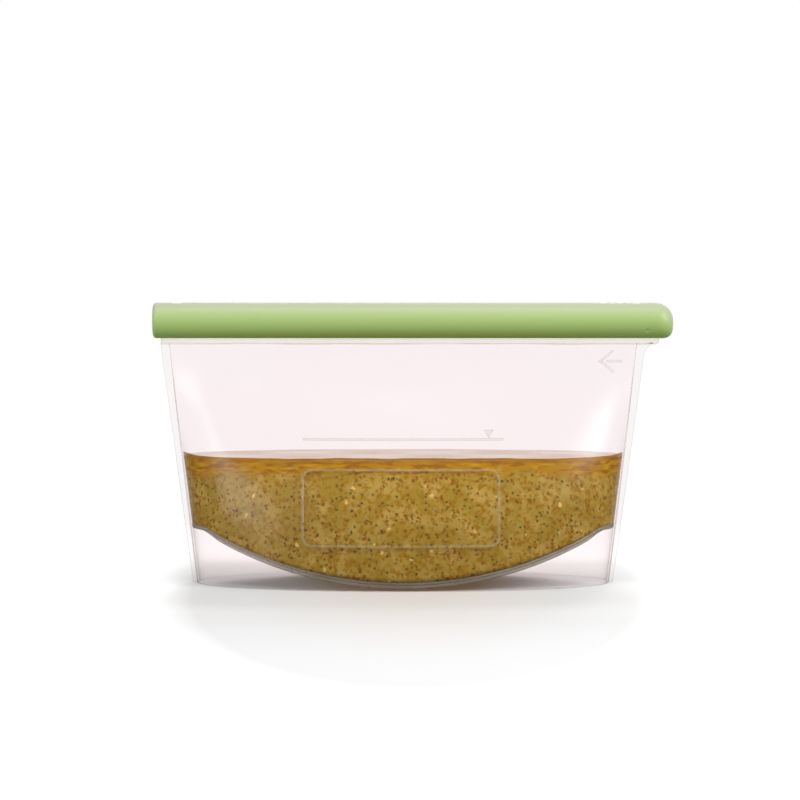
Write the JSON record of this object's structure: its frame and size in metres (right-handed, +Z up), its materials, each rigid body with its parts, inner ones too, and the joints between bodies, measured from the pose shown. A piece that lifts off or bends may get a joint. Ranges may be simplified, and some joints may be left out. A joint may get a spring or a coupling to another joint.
{
  "type": "reusable silicone bag",
  "caption": "Stand-up translucent silicone food bag with a bottom gusset, shown half full of sauce and shut by a round green slide-on closure bar.",
  "frame": {"origin": "on the floor, under the middle of the closed bar's length and thickness", "axes": "+X along the closure bar towards its closed end, +Y from the front of the bag to its back, +Z up"},
  "size_m": [0.224, 0.0783, 0.1208],
  "materials": {
    "silicone_wall": "satin",
    "silicone_thick": "satin",
    "bar_green": "satin",
    "food": "gloss"
  },
  "bodies": {
    "bag": {"front_wall": "silicone_wall", "back_wall": "silicone_wall", "left_side_seam": "silicone_thick", "right_side_seam": "silicone_thick", "bottom_gusset": "silicone_wall", "front_gusset_seam": "silicone_thick", "back_gusset_seam": "silicone_thick", "front_lip": "silicone_thick", "back_lip": "silicone_thick", "label_frame": "silicone_thick", "fill_line": "silicone_thick", "fill_pointer": "silicone_thick", "slide_arrow": "silicone_thick", "food_fill": "food"},
    "bar": {"closure_bar": "bar_green"}
  },
  "joints": [
    {"name": "bar_slide", "type": "slide", "parent": "bag", "child": "bar", "axis": [1, 0, 0], "range_m": [0, 0.222]}
  ]
}
